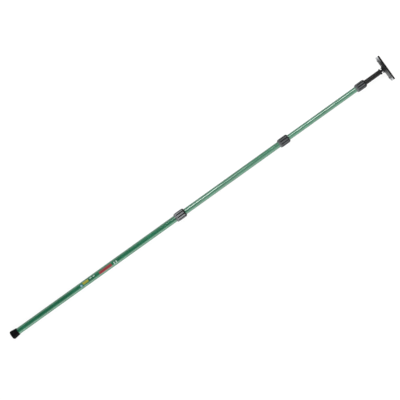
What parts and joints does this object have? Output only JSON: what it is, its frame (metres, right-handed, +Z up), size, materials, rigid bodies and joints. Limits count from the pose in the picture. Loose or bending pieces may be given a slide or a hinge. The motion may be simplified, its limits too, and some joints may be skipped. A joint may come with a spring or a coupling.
{
  "type": "pole drywall sander",
  "caption": "Telescopic pole sander: green pole with ribbed twist-locks, rubber foot cap and a small flat sanding head on a swivelling pivot.",
  "frame": {"origin": "centre of the foot cap's flat end face, on the pole's axis", "axes": "+X along the pole's axis from the foot to the sanding face; +Z up as the pole lies on a surface; the head plate is long in Y"},
  "size_m": [1.9199, 0.118, 0.06],
  "materials": {
    "green_tube": "dark green lacquer on drawn tube",
    "black_tube": "black lacquer on drawn tube",
    "grip_plastic": "moulded graphite grey plastic, ribbed",
    "inner_plastic": "moulded natural plastic",
    "foot_rubber": "black moulded rubber",
    "black_fittings": "black powder coat",
    "pin_steel": "zinc plated steel",
    "head_plate": "light grey aluminium sheet, lightly brushed",
    "foam": "dark closed-cell foam",
    "hook_fabric": "black hook fabric",
    "abrasive": "abrasive grit on cloth backing"
  },
  "bodies": {
    "lower_section": {"foot_cap": "foot_rubber", "foot_plug": "inner_plastic", "lower_tube": "green_tube", "lower_lock_body": "grip_plastic", "lower_collet": "inner_plastic"},
    "lower_collar": {"lower_twist_collar": "grip_plastic"},
    "second_section": {"second_tube": "green_tube", "second_guide_bush": "inner_plastic", "middle_lock_body": "grip_plastic", "middle_collet": "inner_plastic"},
    "middle_collar": {"middle_twist_collar": "grip_plastic"},
    "third_section": {"third_tube": "green_tube", "third_guide_bush": "inner_plastic", "upper_lock_body": "grip_plastic", "upper_collet": "inner_plastic"},
    "upper_collar": {"upper_twist_collar": "grip_plastic"},
    "tip_section": {"tip_tube": "black_tube", "tip_guide_bush": "inner_plastic", "tip_end_plug": "black_fittings", "yaw_pin": "pin_steel", "yaw_pin_clip": "pin_steel"},
    "swivel": {"swivel_block": "black_fittings"},
    "sanding_head": {"head_bracket": "black_fittings", "pitch_pin": "pin_steel", "pitch_pin_clip": "pin_steel", "bracket_screw_1": "pin_steel", "bracket_screw_2": "pin_steel", "bracket_screw_3": "pin_steel", "bracket_screw_4": "pin_steel", "backing_plate": "head_plate", "foam_pad": "foam", "hook_layer": "hook_fabric", "abrasive_sheet": "abrasive"}
  },
  "joints": [
    {"name": "lower_lock_turn", "type": "hinge", "parent": "lower_section", "child": "lower_collar", "pos_m": [0.87, 0, 0], "axis": [1, 0, 0], "range_deg": [0, 120]},
    {"name": "second_slide", "type": "slide", "parent": "lower_section", "child": "second_section", "axis": [1, 0, 0], "range_m": [-0.47, 0.25]},
    {"name": "middle_lock_turn", "type": "hinge", "parent": "second_section", "child": "middle_collar", "pos_m": [1.399, 0, 0], "axis": [1, 0, 0], "range_deg": [0, 120]},
    {"name": "third_slide", "type": "slide", "parent": "second_section", "child": "third_section", "axis": [1, 0, 0], "range_m": [-0.34, 0.37]},
    {"name": "upper_lock_turn", "type": "hinge", "parent": "third_section", "child": "upper_collar", "pos_m": [1.793, 0, 0], "axis": [1, 0, 0], "range_deg": [0, 120]},
    {"name": "tip_slide", "type": "slide", "parent": "third_section", "child": "tip_section", "axis": [1, 0, 0], "range_m": [-0.065, 0.6]},
    {"name": "head_yaw", "type": "hinge", "parent": "tip_section", "child": "swivel", "pos_m": [1.8984, 0, 0], "axis": [0, 0, 1], "range_deg": [-20, 20]},
    {"name": "head_pitch", "type": "hinge", "parent": "swivel", "child": "sanding_head", "pos_m": [1.9052, 0, 0], "axis": [0, 1, 0], "range_deg": [-45, 45]}
  ]
}
